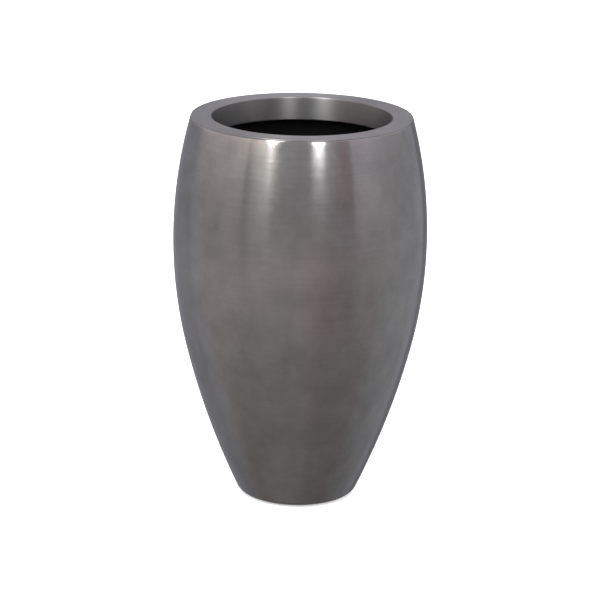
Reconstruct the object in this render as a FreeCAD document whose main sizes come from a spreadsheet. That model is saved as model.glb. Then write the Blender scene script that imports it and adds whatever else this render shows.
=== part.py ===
import FreeCAD, Part
import math
import os
import Sketcher

# A barrel-shaped floor planter of brushed dark steel, with a lift-out liner hung inside it.
# Millimetres, +Z up. The origin is on the floor in the middle of the foot, and the front faces -Y.

DIMENSIONS = {
    # whole planter
    "overall_height": 700.0,
    # barrel
    "belly_radius": 227.5,
    "belly_height": 476.0,
    "upper_arc": 833.0,
    "lower_arc": 1436.0,
    "arc_change": 280.0,
    "foot_round": 18.0,
    "foot_opening": 74.0,
    "shell_sheet": 1.5,
    "shoulder_round": 2.0,
    "shoulder_opening": 180.0,
    # rim
    "rim_sheet": 2.0,
    "lip_radius": 196.8,
    "lip_edge": 1.4,
    "rim_bend": 3.0,
    "mouth_radius": 160.0,
    "collar_depth": 43.5,
    "hem_gap": 0.6,
    "hem_leg": 8.0,
    # foot
    "base_radius": 92.0,
    "base_sheet": 2.5,
    "drain_radius": 10.0,
    "pad_count": 4,
    "pad_circle": 84.0,
    "pad_radius": 8.0,
    "pad_height": 2.0,
    "pad_edge": 0.5,
    # brackets that carry the liner
    "bracket_count": 4,
    "bracket_sheet": 3.0,
    "bracket_bend": 4.0,
    "bracket_leg": 45.0,
    "bracket_tip": 147.5,
    "bracket_angle": 9.0,
    "bracket_corner": 6.0,
    # liner
    "liner_top": 600.0,
    "liner_height": 270.0,
    "liner_wall": 3.0,
    "liner_foot": 118.0,
    "liner_foot_round": 12.0,
    "liner_step_height": 208.0,
    "liner_step_below": 141.0,
    "liner_step_above": 144.5,
    "liner_mouth": 146.0,
    "liner_flange": 156.0,
    "liner_skirt": 5.0,
    # ears and bails
    "ear_start": 148.8,
    "ear_thick": 4.0,
    "ear_half_width": 16.0,
    "ear_round": 7.0,
    "hinge_offset": 9.0,
    "hinge_play": 0.1,
    "wire_radius": 2.5,
    "wire_bend": 6.0,
    "wire_reach": 153.2,
    "head_radius": 4.0,
    "head_thick": 2.0,
    "bail_radius": 142.0,
    "grip_radius": 7.0,
    "grip_angle": 46.0,
    "grip_edge": 1.5,
    "rest_gap": 0.3,
    # drain bung
    "bung_play": 0.15,
    "bung_head": 16.0,
    "bung_rise": 4.5,
    "bung_point": 2.0,
    "bung_taper": 1.5,
    "bung_dome": 2.0,
    "tab_width": 16.0,
    "tab_height": 13.0,
    "tab_thick": 4.0,
    "tab_round": 6.0,
    "tab_hole": 3.5,
    # how far a cut runs on past the sheet
    "cut_past": 1.0,
}

# Heights that several pieces share
SHOULDER = "Dims.overall_height - Dims.rim_sheet"
PLATE_SEAT = "Dims.pad_height + Dims.shell_sheet"
SHELF = "Dims.liner_top - Dims.liner_wall - Dims.liner_skirt"
LINER_FOOT = "Dims.liner_top - Dims.liner_height"
BUNG_SEAT = LINER_FOOT + " + Dims.liner_wall"
HINGE = "Dims.liner_top + Dims.grip_radius + Dims.rest_gap"

V = FreeCAD.Vector
UP = V(0, 0, 1)
START, END, CENTRE = 1, 2, 3
NEAR = 0.01
SAME = 1e-6

doc = FreeCAD.newDocument("planter")
sheet = doc.addObject("Spreadsheet::Sheet", "Dims")
for row, (alias, value) in enumerate(DIMENSIONS.items(), start=1):
    sheet.set(f"A{row}", alias)
    sheet.set(f"B{row}", str(value))
    sheet.setAlias(f"B{row}", alias)
doc.recompute()


def worth(expression):
    """The number that an expression of the sheet's cells comes to."""
    return float(sheet.evalExpression(expression))


def cell(alias):
    return worth("Dims." + alias)


def new_body(label, many=False):
    """A body, which may hold several separate solids."""
    body = doc.addObject("PartDesign::Body", label)
    body.Label = label
    body.AllowCompound = many
    return body


def datum(body, role):
    """One of a body's own origin planes or axes."""
    for item in body.Origin.OriginFeatures:
        if item.Role == role:
            return item


def new_sketch(body, name, role, distance=None):
    """A sketch on an origin plane of the body, moved along the plane's normal."""
    sketch = body.newObject("Sketcher::SketchObject", name)
    sketch.AttachmentSupport = [(datum(body, role), "")]
    sketch.MapMode = "FlatFace"
    if distance:
        sketch.setExpression("AttachmentOffset.Base.z", distance)
    return sketch


# What sketches hold

def size(sketch, kind, refs, expression):
    """A dimension, bound to an expression."""
    index = sketch.addConstraint(Sketcher.Constraint(kind, *refs, worth(expression)))
    sketch.setExpression(f"Constraints[{index}]", expression)


def across(sketch, item, place, expression):
    """Holds a point at a distance from the upright axis."""
    if expression == "0":
        sketch.addConstraint(Sketcher.Constraint("PointOnObject", item, place, -2))
    else:
        size(sketch, "DistanceX", (-1, START, item, place), expression)


def upward(sketch, item, place, expression):
    """Holds a point at a height above the level axis."""
    if expression == "0":
        sketch.addConstraint(Sketcher.Constraint("PointOnObject", item, place, -1))
    else:
        size(sketch, "DistanceY", (-1, START, item, place), expression)


def radius(sketch, item, expression):
    size(sketch, "Radius", (item,), expression)


def circle(sketch, size_words, x="0", y="0"):
    """A circle given by expressions for its radius and its centre."""
    ring = Part.Circle(V(worth(x), worth(y)), UP, worth(size_words))
    index = sketch.addGeometry(ring)
    radius(sketch, index, size_words)
    across(sketch, index, CENTRE, x)
    upward(sketch, index, CENTRE, y)


def outline(sketch, corners):
    """Straight lines round corners that are given by expressions."""
    points = [V(worth(x), worth(y)) for x, y in corners]
    first = sketch.GeometryCount
    count = len(points)
    for index in range(count):
        sketch.addGeometry(line(points[index], points[(index + 1) % count]))
    for index, (x, y) in enumerate(corners):
        following = first + (index + 1) % count
        sketch.addConstraint(Sketcher.Constraint("Coincident", first + index, END, following, START))
        across(sketch, first + index, START, x)
        upward(sketch, first + index, START, y)


def line(a, b):
    return Part.LineSegment(a, b)


def arc(centre, a, b):
    """The arc from a to b, anticlockwise about its centre."""
    first = a - centre
    last = b - centre
    ring = Part.Circle(centre, UP, first.Length)
    return Part.ArcOfCircle(ring, math.atan2(first.y, first.x), math.atan2(last.y, last.x))


def heading(item, place):
    """The direction of a line or an arc at one of its ends."""
    if isinstance(item, Part.LineSegment):
        return (item.EndPoint - item.StartPoint).normalize()
    point = item.StartPoint if place == START else item.EndPoint
    return UP.cross((point - item.Center).normalize())


def meeting(one, other):
    """The ends, start or end, at which two items meet."""
    for a, p in ((START, one.StartPoint), (END, one.EndPoint)):
        for b, q in ((START, other.StartPoint), (END, other.EndPoint)):
            if (p - q).Length < SAME:
                return a, b


def draw(sketch, items, closed=True):
    """Draws lines and arcs end to end. Ends that meet are joined, and smooth joints, level lines
    and upright lines are kept so."""
    sketch.addGeometry(items)
    for index, item in enumerate(items):
        if isinstance(item, Part.LineSegment):
            along = heading(item, START)
            if abs(along.y) < SAME:
                sketch.addConstraint(Sketcher.Constraint("Horizontal", index))
            elif abs(along.x) < SAME:
                sketch.addConstraint(Sketcher.Constraint("Vertical", index))
    pairs = list(zip(range(len(items)), range(1, len(items))))
    if closed:
        pairs.append((len(items) - 1, 0))
    for one, other in pairs:
        a, b = meeting(items[one], items[other])
        turn = heading(items[one], a).cross(heading(items[other], b)).Length
        kind = "Tangent" if turn < SAME else "Coincident"
        sketch.addConstraint(Sketcher.Constraint(kind, one, a, other, b))


# What bodies are made with

def feature(body, kind, name, profile, **sizes):
    """A feature made from a sketch, with its properties bound to expressions."""
    made = body.newObject(f"PartDesign::{kind}", name)
    made.Profile = profile
    for prop, expression in sizes.items():
        made.setExpression(prop, expression)
    return made


def turned(body, name, profile, angle=None):
    """A section turned round the body's Z axis, all round or through an angle about its plane."""
    made = feature(body, "Revolution", name, profile)
    made.ReferenceAxis = (datum(body, "Z_Axis"), [""])
    if angle:
        made.Midplane = True
        made.setExpression("Angle", angle)
    else:
        made.Angle = 360
    return made


def repeated(body, name, count):
    """Copies of the whole body so far, evenly spaced round the Z axis."""
    made = body.newObject("PartDesign::PolarPattern", name)
    made.TransformMode = "Whole shape"
    made.Axis = (datum(body, "Z_Axis"), [""])
    made.Angle = 360
    made.setExpression("Occurrences", count)
    body.Tip = made


def eased(body, kind, name, base, is_wanted, expression):
    """A Fillet or a Chamfer on those edges of base that is_wanted picks."""
    doc.recompute()
    edges = []
    for number, edge in enumerate(base.Shape.Edges, start=1):
        if is_wanted(edge, edge.BoundBox):
            edges.append(f"Edge{number}")
    made = body.newObject(f"PartDesign::{kind}", name)
    made.Base = (base, edges)
    made.setExpression("Radius" if kind == "Fillet" else "Size", expression)
    body.Tip = made
    return made


def ring_at(height, reach):
    """Picks the level round edge at a height that reaches so far along X."""
    def is_wanted(edge, box):
        level = abs(box.ZMin - height) < NEAR and abs(box.ZMax - height) < NEAR
        return level and abs(box.XMax - reach) < NEAR
    return is_wanted


def level_face(base, height):
    """The name of the flat face of base that lies at a height."""
    for number, face in enumerate(base.Shape.Faces, start=1):
        box = face.BoundBox
        if abs(box.ZMin - height) < NEAR and abs(box.ZMax - height) < NEAR:
            return f"Face{number}"


# The barrel
# Two long arcs make its side: a tighter one from the rim past the belly, and a flatter one down
# to the foot. The sheet turns in at the foot and under the rim.

def barrel_side(inset):
    """The lines and arcs of one face of the sheet, from the foot up, moved inwards by inset."""
    upper = cell("upper_arc")
    lower = cell("lower_arc")
    foot = cell("foot_round")
    shoulder = cell("shoulder_round")
    low = cell("pad_height")
    high = worth(SHOULDER)
    change_height = cell("arc_change")

    upper_centre = V(cell("belly_radius") - upper, cell("belly_height"))
    rise = change_height - upper_centre.y
    change = V(upper_centre.x + math.sqrt(upper ** 2 - rise ** 2), change_height)
    lower_centre = change + (upper_centre - change) * (lower / upper)
    drop = low + foot - lower_centre.y
    foot_centre = V(lower_centre.x + math.sqrt((lower - foot) ** 2 - drop ** 2), low + foot)
    rise = high - shoulder - upper_centre.y
    top_centre = V(upper_centre.x + math.sqrt((upper - shoulder) ** 2 - rise ** 2), high - shoulder)

    def on_arc(centre, arc_size, towards):
        return centre + (towards - centre).normalize() * (arc_size - inset)

    foot_flat = V(foot_centre.x, low + inset)
    foot_side = on_arc(lower_centre, lower, foot_centre)
    change = on_arc(upper_centre, upper, change)
    top_side = on_arc(upper_centre, upper, top_centre)
    top_flat = V(top_centre.x, high - inset)
    return [
        line(V(cell("foot_opening"), low + inset), foot_flat),
        arc(foot_centre, foot_flat, foot_side),
        arc(lower_centre, foot_side, change),
        arc(upper_centre, change, top_side),
        arc(top_centre, top_side, top_flat),
        line(top_flat, V(cell("shoulder_opening"), high - inset)),
    ]


def hold_barrel_side(sketch, items, inset):
    """The sizes of one face of the sheet, whose six items are given from the foot up."""
    low_line, foot, lower, upper, shoulder, high_line = items
    radius(sketch, foot, f"Dims.foot_round - {inset}")
    radius(sketch, lower, f"Dims.lower_arc - {inset}")
    radius(sketch, upper, f"Dims.upper_arc - {inset}")
    radius(sketch, shoulder, f"Dims.shoulder_round - {inset}")
    across(sketch, upper, CENTRE, "Dims.belly_radius - Dims.upper_arc")
    upward(sketch, upper, CENTRE, "Dims.belly_height")
    upward(sketch, low_line, START, f"Dims.pad_height + {inset}")
    upward(sketch, high_line, END, f"{SHOULDER} - {inset}")


def make_body_shell():
    body = new_body("body_shell")
    sketch = new_sketch(body, "barrel_section", "XZ_Plane")
    outside = barrel_side(0)
    inside = barrel_side(cell("shell_sheet"))
    shoulder_edge = line(outside[-1].EndPoint, inside[-1].EndPoint)
    foot_edge = line(inside[0].StartPoint, outside[0].StartPoint)
    draw(sketch, outside + [shoulder_edge] + inside[::-1] + [foot_edge])

    outer_items = list(range(6))
    inner_items = list(range(12, 6, -1))
    hold_barrel_side(sketch, outer_items, "0")
    hold_barrel_side(sketch, inner_items, "Dims.shell_sheet")
    outer_lower = outer_items[2]
    inner_lower = inner_items[2]
    upward(sketch, outer_lower, END, "Dims.arc_change")
    level = Sketcher.Constraint("Horizontal", outer_lower, CENTRE, inner_lower, CENTRE)
    sketch.addConstraint(level)
    across(sketch, outer_items[0], START, "Dims.foot_opening")
    across(sketch, outer_items[-1], END, "Dims.shoulder_opening")
    turned(body, "barrel", sketch)
    return body


# The rim
# One ring of thicker sheet: a flat lip on the barrel's shoulder, a rolled inner corner, a short
# upright collar, and a hem folded outwards at the collar's lower edge.

def make_rim_ring():
    body = new_body("rim_ring")
    sketch = new_sketch(body, "rim_section", "XZ_Plane")
    thick = cell("rim_sheet")
    top = cell("overall_height")
    under = top - thick
    lip = cell("lip_radius")
    edge = cell("lip_edge")
    bend = cell("rim_bend")
    face = cell("mouth_radius")
    back = face + thick
    hem = cell("hem_gap") / 2
    fold = hem + thick
    low = top - cell("collar_depth") + fold
    leg_top = low + cell("hem_leg")
    leg_front = back + cell("hem_gap")
    leg_back = leg_front + thick
    hem_centre = V(face + fold, low)
    bend_centre = V(face + bend, top - bend)
    edge_centre = V(lip - edge, top - edge)
    items = [
        line(V(face + bend, top), V(lip - edge, top)),
        arc(edge_centre, V(lip, top - edge), V(lip - edge, top)),
        line(V(lip, top - edge), V(lip, under)),
        line(V(lip, under), V(face + bend, under)),
        arc(bend_centre, V(face + bend, under), V(back, top - bend)),
        line(V(back, top - bend), V(back, low)),
        arc(hem_centre, V(back, low), V(leg_front, low)),
        line(V(leg_front, low), V(leg_front, leg_top)),
        line(V(leg_front, leg_top), V(leg_back, leg_top)),
        line(V(leg_back, leg_top), V(leg_back, low)),
        arc(hem_centre, V(face, low), V(leg_back, low)),
        line(V(face, low), V(face, top - bend)),
        arc(bend_centre, V(face + bend, top), V(face, top - bend)),
    ]
    draw(sketch, items)
    lip_top, edge_arc, lip_side, lip_under, bend_back, collar_back, hem_inner = range(7)
    leg_end, leg_outer, hem_outer, collar_face, bend_face = range(8, 13)
    upward(sketch, lip_top, START, "Dims.overall_height")
    upward(sketch, lip_under, START, SHOULDER)
    across(sketch, lip_side, END, "Dims.lip_radius")
    radius(sketch, edge_arc, "Dims.lip_edge")
    radius(sketch, bend_face, "Dims.rim_bend")
    radius(sketch, bend_back, "Dims.rim_bend - Dims.rim_sheet")
    radius(sketch, hem_inner, "Dims.hem_gap / 2")
    across(sketch, collar_face, START, "Dims.mouth_radius")
    across(sketch, collar_back, START, "Dims.mouth_radius + Dims.rim_sheet")
    across(sketch, leg_outer, START, "Dims.mouth_radius + Dims.hem_gap + 2 * Dims.rim_sheet")
    fold_height = SHOULDER + " - Dims.collar_depth + Dims.hem_gap / 2 + 2 * Dims.rim_sheet"
    upward(sketch, hem_outer, CENTRE, fold_height)
    upward(sketch, hem_inner, CENTRE, fold_height)
    upward(sketch, leg_end, START, fold_height + " + Dims.hem_leg")
    turned(body, "rim", sketch)
    return body


# The foot
# A plain disc with a drain hole, welded on the barrel's foot flange, and four round pads stuck
# under the flange.

def make_base_plate():
    body = new_body("base_plate")
    sketch = new_sketch(body, "plate_outline", "XY_Plane", PLATE_SEAT)
    circle(sketch, "Dims.base_radius")
    circle(sketch, "Dims.drain_radius")
    feature(body, "Pad", "plate", sketch, Length="Dims.base_sheet")
    return body


def make_foot_pads():
    body = new_body("foot_pads", many=True)
    sketch = new_sketch(body, "pad_outline", "XY_Plane")
    place = "Dims.pad_circle * sqrt(0.5)"
    circle(sketch, "Dims.pad_radius", place, place)
    pad = feature(body, "Pad", "pad", sketch, Length="Dims.pad_height")
    reach = worth(place) + cell("pad_radius")
    eased(body, "Fillet", "pad_edge", pad, ring_at(0, reach), "Dims.pad_edge")
    repeated(body, "all_pads", "Dims.pad_count")
    return body


# The liner's brackets
# Each is an angle rolled to the barrel's curve. Its leg is welded to the wall, and its shelf
# carries the liner's flange.

def make_liner_brackets():
    body = new_body("liner_brackets", many=True)
    sketch = new_sketch(body, "bracket_section", "XZ_Plane")
    thick = cell("bracket_sheet")
    bend = cell("bracket_bend")
    tip = cell("bracket_tip")
    shelf = worth(SHELF)
    low = shelf - cell("bracket_leg")
    wall = cell("upper_arc") - cell("shell_sheet")
    centre = V(cell("belly_radius") - cell("upper_arc"), cell("belly_height"))
    rise = shelf - bend - centre.y
    bend_centre = V(centre.x + math.sqrt((wall - bend) ** 2 - rise ** 2), shelf - bend)
    towards = (bend_centre - centre).normalize()
    rise = low - centre.y
    outer_low = V(centre.x + math.sqrt(wall ** 2 - rise ** 2), low)
    inner_low = V(centre.x + math.sqrt((wall - thick) ** 2 - rise ** 2), low)
    outer_bend = centre + towards * wall
    inner_bend = centre + towards * (wall - thick)
    items = [
        line(V(tip, shelf), V(bend_centre.x, shelf)),
        arc(bend_centre, outer_bend, V(bend_centre.x, shelf)),
        arc(centre, outer_low, outer_bend),
        line(outer_low, inner_low),
        arc(centre, inner_low, inner_bend),
        arc(bend_centre, inner_bend, V(bend_centre.x, shelf - thick)),
        line(V(bend_centre.x, shelf - thick), V(tip, shelf - thick)),
        line(V(tip, shelf - thick), V(tip, shelf)),
    ]
    draw(sketch, items)
    shelf_top, outer_round, outer_leg, leg_end, inner_leg, inner_round, shelf_under = range(7)
    upward(sketch, shelf_top, START, SHELF)
    upward(sketch, shelf_under, END, SHELF + " - Dims.bracket_sheet")
    across(sketch, shelf_top, START, "Dims.bracket_tip")
    radius(sketch, outer_round, "Dims.bracket_bend")
    radius(sketch, inner_round, "Dims.bracket_bend - Dims.bracket_sheet")
    radius(sketch, outer_leg, "Dims.upper_arc - Dims.shell_sheet")
    radius(sketch, inner_leg, "Dims.upper_arc - Dims.shell_sheet - Dims.bracket_sheet")
    for leg in (outer_leg, inner_leg):
        across(sketch, leg, CENTRE, "Dims.belly_radius - Dims.upper_arc")
        upward(sketch, leg, CENTRE, "Dims.belly_height")
    upward(sketch, leg_end, START, SHELF + " - Dims.bracket_leg")
    angle = turned(body, "bracket", sketch, "Dims.bracket_angle")

    def at_tip(edge, box):
        upright = abs(box.ZLength - thick) < NEAR and box.XLength < NEAR
        return upright and box.XMax < tip + thick

    eased(body, "Fillet", "tip_corners", angle, at_tip, "Dims.bracket_corner")
    repeated(body, "all_brackets", "Dims.bracket_count")
    return body


# The liner
# A moulded pot with a step in its side, a flange that hangs on the brackets, an ear on each side
# for the two bails, and a drain hole.

def make_liner():
    body = new_body("liner")
    step = LINER_FOOT + " + Dims.liner_step_height"
    sketch = new_sketch(body, "pot_section", "XZ_Plane")
    outline(sketch, [
        ("0", LINER_FOOT),
        ("Dims.liner_foot", LINER_FOOT),
        ("Dims.liner_step_below", step),
        ("Dims.liner_step_above", step + " + Dims.liner_step_above - Dims.liner_step_below"),
        ("Dims.liner_mouth", "Dims.liner_top"),
        ("0", "Dims.liner_top"),
    ])
    pot = turned(body, "pot", sketch)
    foot_edge = ring_at(worth(LINER_FOOT), cell("liner_foot"))
    pot = eased(body, "Fillet", "foot_edge", pot, foot_edge, "Dims.liner_foot_round")

    doc.recompute()
    hollow = body.newObject("PartDesign::Thickness", "hollow")
    hollow.Base = (pot, [level_face(pot, cell("liner_top"))])
    hollow.Reversed = True
    hollow.setExpression("Value", "Dims.liner_wall")

    sketch = new_sketch(body, "flange_section", "XZ_Plane")
    outline(sketch, [
        ("Dims.liner_mouth - Dims.liner_wall / 2", "Dims.liner_top"),
        ("Dims.liner_mouth - Dims.liner_wall / 2", "Dims.liner_top - Dims.liner_wall"),
        ("Dims.liner_flange - Dims.liner_wall", "Dims.liner_top - Dims.liner_wall"),
        ("Dims.liner_flange - Dims.liner_wall", SHELF),
        ("Dims.liner_flange", SHELF),
        ("Dims.liner_flange", "Dims.liner_top"),
    ])
    turned(body, "flange", sketch)
    add_ears(body)

    sketch = new_sketch(body, "drain_outline", "XY_Plane", LINER_FOOT)
    circle(sketch, "Dims.drain_radius")
    drain = feature(body, "Pocket", "drain", sketch, Length="Dims.liner_wall + Dims.cut_past")
    drain.Reversed = True
    return body


def add_ears(body):
    """A lug on the flange with a hole for each bail, and the same on the other side."""
    ear_top = HINGE + " + Dims.ear_round"
    sketch = new_sketch(body, "ear_outline", "YZ_Plane", "Dims.ear_start")
    outline(sketch, [
        ("-Dims.ear_half_width", "Dims.liner_top - Dims.liner_wall"),
        ("Dims.ear_half_width", "Dims.liner_top - Dims.liner_wall"),
        ("Dims.ear_half_width", ear_top),
        ("-Dims.ear_half_width", ear_top),
    ])
    ear = feature(body, "Pad", "ear", sketch, Length="Dims.ear_thick")

    def at_top_corner(edge, box):
        along = abs(box.XLength - cell("ear_thick")) < NEAR and box.YLength < NEAR
        return along and abs(box.ZMin - worth(ear_top)) < NEAR

    corners = eased(body, "Fillet", "ear_corners", ear, at_top_corner, "Dims.ear_round")
    sketch = new_sketch(body, "hinge_outline", "YZ_Plane", "Dims.ear_start")
    for offset in ("-Dims.hinge_offset", "Dims.hinge_offset"):
        circle(sketch, "Dims.wire_radius + Dims.hinge_play", offset, HINGE)
    through_ear = "Dims.ear_thick + Dims.cut_past"
    holes = feature(body, "Pocket", "hinge_holes", sketch, Length=through_ear)
    holes.Reversed = True
    mirrored = body.newObject("PartDesign::Mirrored", "other_ear")
    mirrored.Originals = [ear, corners, holes]
    mirrored.MirrorPlane = (datum(body, "YZ_Plane"), [""])
    body.Tip = mirrored


# The drain bung
# It is pushed in from above and pulled out by its tab.

def make_drain_bung():
    body = new_body("drain_bung")
    point = LINER_FOOT + " - Dims.bung_point"
    head_top = BUNG_SEAT + " + Dims.bung_rise"
    stem = "Dims.drain_radius - Dims.bung_play"
    sketch = new_sketch(body, "bung_section", "XZ_Plane")
    outline(sketch, [
        ("0", point),
        (stem, point),
        (stem, BUNG_SEAT),
        ("Dims.bung_head", BUNG_SEAT),
        ("Dims.bung_head", head_top),
        ("0", head_top),
    ])
    plug = turned(body, "plug", sketch)
    head_edge = ring_at(worth(head_top), cell("bung_head"))
    plug = eased(body, "Fillet", "head_edge", plug, head_edge, "Dims.bung_dome")
    stem_edge = ring_at(worth(point), worth(stem))
    eased(body, "Chamfer", "stem_taper", plug, stem_edge, "Dims.bung_taper")

    tab_top = head_top + " + Dims.tab_height"
    sketch = new_sketch(body, "tab_outline", "XZ_Plane", "-Dims.tab_thick / 2")
    outline(sketch, [
        ("-Dims.tab_width / 2", BUNG_SEAT),
        ("Dims.tab_width / 2", BUNG_SEAT),
        ("Dims.tab_width / 2", tab_top),
        ("-Dims.tab_width / 2", tab_top),
    ])
    circle(sketch, "Dims.tab_hole", y=tab_top + " - Dims.tab_round")
    tab = feature(body, "Pad", "tab", sketch, Length="Dims.tab_thick")

    def at_top_corner(edge, box):
        along = abs(box.YLength - cell("tab_thick")) < NEAR and box.XLength < NEAR
        return along and abs(box.ZMin - worth(tab_top)) < NEAR

    eased(body, "Fillet", "tab_corners", tab, at_top_corner, "Dims.tab_round")
    return body


# The bails
# Each is one wire: a wide bow round the liner's mouth, whose ends turn outwards through the ears
# and are upset outside them. The front one is drawn, and the rear one is the same turned round.
# The wire is drawn about its hinge and the grip about the planter's axis.

def place_bail(body, faces_back, hinge_offset):
    body.setExpression("Placement.Base.z", HINGE)
    if faces_back:
        body.Placement.Rotation = FreeCAD.Rotation(UP, 180)
        body.setExpression("Placement.Base.y", hinge_offset)
    else:
        body.setExpression("Placement.Base.y", f"-({hinge_offset})")


def make_bail_wire(label, faces_back):
    body = new_body(label)
    path = new_sketch(body, "wire_path", "XY_Plane")
    bow = cell("bail_radius")
    bend = cell("wire_bend")
    reach = cell("wire_reach")
    middle = V(0, cell("hinge_offset"))
    side = math.sqrt((bow + bend) ** 2 - (middle.y + bend) ** 2)
    left_centre = V(-side, -bend)
    right_centre = V(side, -bend)
    left_join = middle + (left_centre - middle).normalize() * bow
    right_join = middle + (right_centre - middle).normalize() * bow
    items = [
        line(V(-reach, 0), V(-side, 0)),
        arc(left_centre, left_join, V(-side, 0)),
        arc(middle, left_join, right_join),
        arc(right_centre, V(side, 0), right_join),
        line(V(side, 0), V(reach, 0)),
    ]
    draw(path, items, closed=False)
    left_end, left_bend, bow_arc, right_bend, right_end = range(5)
    across(path, left_end, START, "-Dims.wire_reach")
    across(path, right_end, END, "Dims.wire_reach")
    upward(path, left_end, START, "0")
    upward(path, right_end, END, "0")
    radius(path, left_bend, "Dims.wire_bend")
    radius(path, right_bend, "Dims.wire_bend")
    radius(path, bow_arc, "Dims.bail_radius")
    across(path, bow_arc, CENTRE, "0")
    upward(path, bow_arc, CENTRE, "Dims.hinge_offset")

    section = new_sketch(body, "wire_section", "YZ_Plane", "-Dims.wire_reach")
    circle(section, "Dims.wire_radius")
    doc.recompute()
    wire = feature(body, "AdditivePipe", "wire", section)
    wire.Spine = (path, [])
    for name, start in (
        ("left_head", "-Dims.wire_reach - Dims.head_thick"),
        ("right_head", "Dims.wire_reach"),
    ):
        sketch = new_sketch(body, name + "_outline", "YZ_Plane", start)
        circle(sketch, "Dims.head_radius")
        feature(body, "Pad", name, sketch, Length="Dims.head_thick")
    place_bail(body, faces_back, "Dims.hinge_offset")
    return body


def make_bail_grip(label, faces_back):
    body = new_body(label)
    sketch = new_sketch(body, "grip_section", "YZ_Plane")
    circle(sketch, "Dims.grip_radius", "-Dims.bail_radius")
    circle(sketch, "Dims.wire_radius", "-Dims.bail_radius")
    tube = turned(body, "tube", sketch, "Dims.grip_angle")
    rim_length = 2 * math.pi * cell("grip_radius")

    def at_end(edge, box):
        return abs(edge.Length - rim_length) < NEAR

    eased(body, "Fillet", "end_edges", tube, at_end, "Dims.grip_edge")
    place_bail(body, faces_back, "0")
    return body


pieces = [
    make_body_shell(),
    make_rim_ring(),
    make_base_plate(),
    make_foot_pads(),
    make_liner_brackets(),
    make_liner(),
    make_drain_bung(),
    make_bail_wire("front_bail_wire", faces_back=False),
    make_bail_grip("front_bail_grip", faces_back=False),
    make_bail_wire("rear_bail_wire", faces_back=True),
    make_bail_grip("rear_bail_grip", faces_back=True),
]
doc.recompute()

for item in doc.Objects:
    if "Invalid" in item.State or "Error" in item.State:
        raise RuntimeError(f"{item.Label} failed: {item.State}")
    if item.TypeId == "Sketcher::SketchObject" and not item.FullyConstrained:
        raise RuntimeError(f"{item.Label} isn't fully constrained")

os.makedirs("parts", exist_ok=True)
for piece in pieces:
    shape = piece.Shape
    if shape.isNull() or not shape.isValid():
        raise RuntimeError(f"{piece.Label} has no valid shape")
    shape.exportStep(f"parts/{piece.Label}.step")
    print(f"{piece.Label}: {len(shape.Solids)} solid(s), {shape.Volume / 1000:.2f} cm3")
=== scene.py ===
import bpy
import math
from mathutils import Matrix, Vector


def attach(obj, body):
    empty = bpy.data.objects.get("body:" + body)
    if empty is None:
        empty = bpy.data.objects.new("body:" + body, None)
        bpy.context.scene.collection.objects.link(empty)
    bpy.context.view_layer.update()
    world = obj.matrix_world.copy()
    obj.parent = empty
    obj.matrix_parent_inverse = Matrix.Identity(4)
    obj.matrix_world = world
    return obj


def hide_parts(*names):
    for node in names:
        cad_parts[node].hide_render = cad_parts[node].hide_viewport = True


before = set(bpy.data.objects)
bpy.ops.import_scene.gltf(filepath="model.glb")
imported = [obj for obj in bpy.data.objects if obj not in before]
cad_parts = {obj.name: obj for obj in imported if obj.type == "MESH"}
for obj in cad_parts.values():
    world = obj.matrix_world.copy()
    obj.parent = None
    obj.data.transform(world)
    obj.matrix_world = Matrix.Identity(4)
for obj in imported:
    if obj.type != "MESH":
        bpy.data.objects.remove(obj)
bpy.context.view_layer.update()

# A barrel-shaped floor planter of brushed dark steel with a liner hung inside it. Metres, +Z up.
# It is built from the floor up, front towards -Y.

up = (0, 0, 1)
axisPoint = (0, 0, 0)
turn = math.radians(360)
closeEnough = 1e-6
nearLength = 1e-5
nearAngle = 1e-3
roundSteps = 256
holeSides = 32
cutLength = 0.02


# Small helpers

def deselectAll():
    if bpy.context.mode != "OBJECT":
        bpy.ops.object.mode_set(mode="OBJECT")
    bpy.ops.object.select_all(action="DESELECT")


def selectOnly(piece):
    deselectAll()
    piece.select_set(True)
    bpy.context.view_layer.objects.active = piece


def editAll(piece):
    selectOnly(piece)
    bpy.ops.object.mode_set(mode="EDIT")
    bpy.ops.mesh.select_all(action="SELECT")


def arcPoints(centre, radius, fromAngle, toAngle, steps):
    # (radius, height) points along an arc, angles in degrees from the outward level
    points = []
    for i in range(steps + 1):
        angle = math.radians(fromAngle + (toAngle - fromAngle) * i / steps)
        points.append((centre[0] + radius * math.cos(angle), centre[1] + radius * math.sin(angle)))
    return points


def roundedSection(corners, steps=4):
    # corners are (radius, height, round size); each is rounded off to its own size
    points = []
    count = len(corners)
    for i, (x, z, size) in enumerate(corners):
        here = Vector((x, z))
        if size <= 0:
            points.append((x, z))
            continue
        before = Vector(corners[i - 1][:2]) - here
        after = Vector(corners[(i + 1) % count][:2]) - here
        half = before.angle(after) / 2
        reach = size / math.tan(half)
        first = here + before.normalized() * reach
        last = here + after.normalized() * reach
        centre = here + (before.normalized() + after.normalized()).normalized() * size / math.sin(half)
        for k in range(steps + 1):
            spoke = (first - centre).lerp(last - centre, k / steps).normalized() * size
            points.append((centre.x + spoke.x, centre.y + spoke.y))
    return points


def tidyMesh(piece, smoothAngle=30):
    # joins what touches, turns the faces outwards and shades smooth up to an angle
    editAll(piece)
    bpy.ops.mesh.remove_doubles(threshold=closeEnough)
    bpy.ops.mesh.normals_make_consistent(inside=False)
    bpy.ops.object.mode_set(mode="OBJECT")
    selectOnly(piece)
    bpy.ops.object.shade_smooth_by_angle(angle=math.radians(smoothAngle))


def placeInMesh(piece):
    selectOnly(piece)
    bpy.ops.object.transform_apply(location=True, rotation=True, scale=True)


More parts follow.
